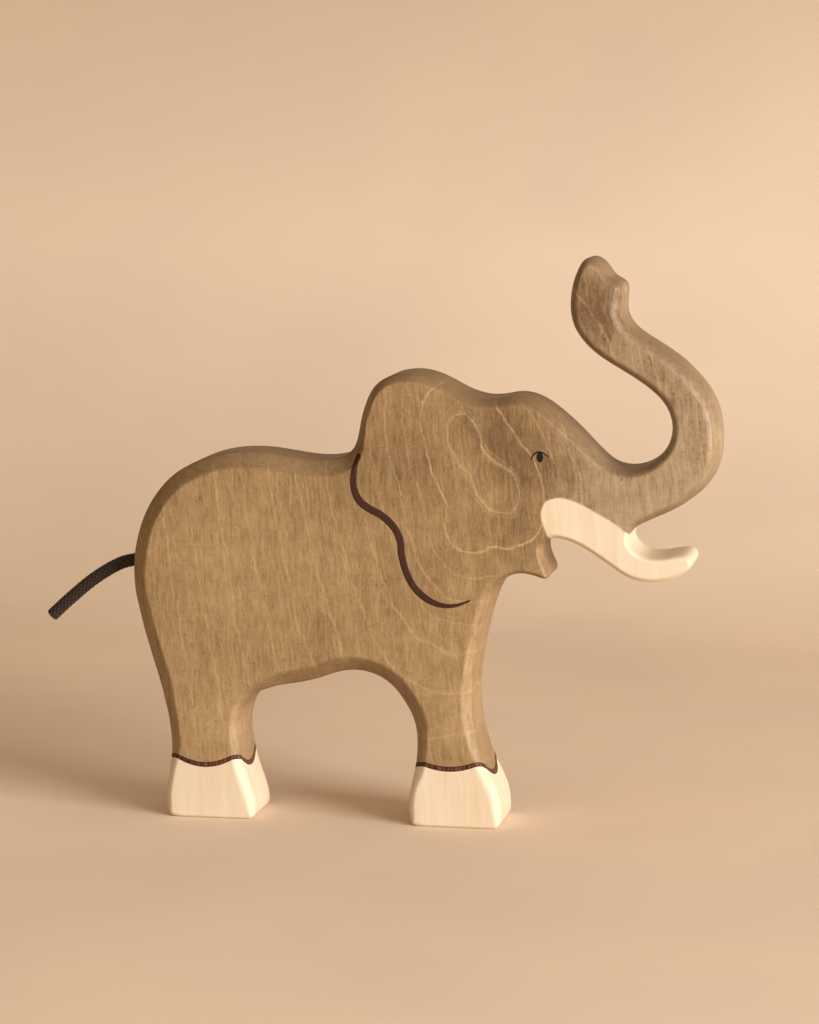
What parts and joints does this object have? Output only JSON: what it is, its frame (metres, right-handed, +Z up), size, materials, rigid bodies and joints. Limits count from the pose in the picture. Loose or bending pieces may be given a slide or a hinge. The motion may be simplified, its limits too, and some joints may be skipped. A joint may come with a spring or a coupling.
{
  "type": "wooden toy elephant",
  "caption": "Flat wooden toy elephant sawn from one board, standing on its leg blocks, with a raised trunk and a glued-in cord tail.",
  "frame": {"origin": "centre of the footprint, level with the soles, midway through the board", "axes": "+Z up, +X forward towards the trunk, +Y out of the elephant's left face"},
  "size_m": [0.2085, 0.0248, 0.172],
  "materials": {
    "stained_wood": "thin greyish-brown stain and wax over pale fine-grained wood, bare on the tusk and the feet",
    "tail_cord": "matt waxed braid, very dark brown",
    "glue": "set wood glue, clear yellowish",
    "brown_paint": "dark reddish-brown paint, satin, with the grain showing through",
    "black_paint": "black paint, satin"
  },
  "bodies": {
    "root": {"body": "stained_wood", "tail_cord": "tail_cord", "tail_glue": "glue", "ear_line_right": "brown_paint", "ear_line_left": "brown_paint", "eye_right": "black_paint", "eye_left": "black_paint", "eyelash_right": "black_paint", "eyelash_left": "black_paint", "rear_ankle_band": "brown_paint", "front_ankle_band": "brown_paint"}
  },
  "joints": []
}
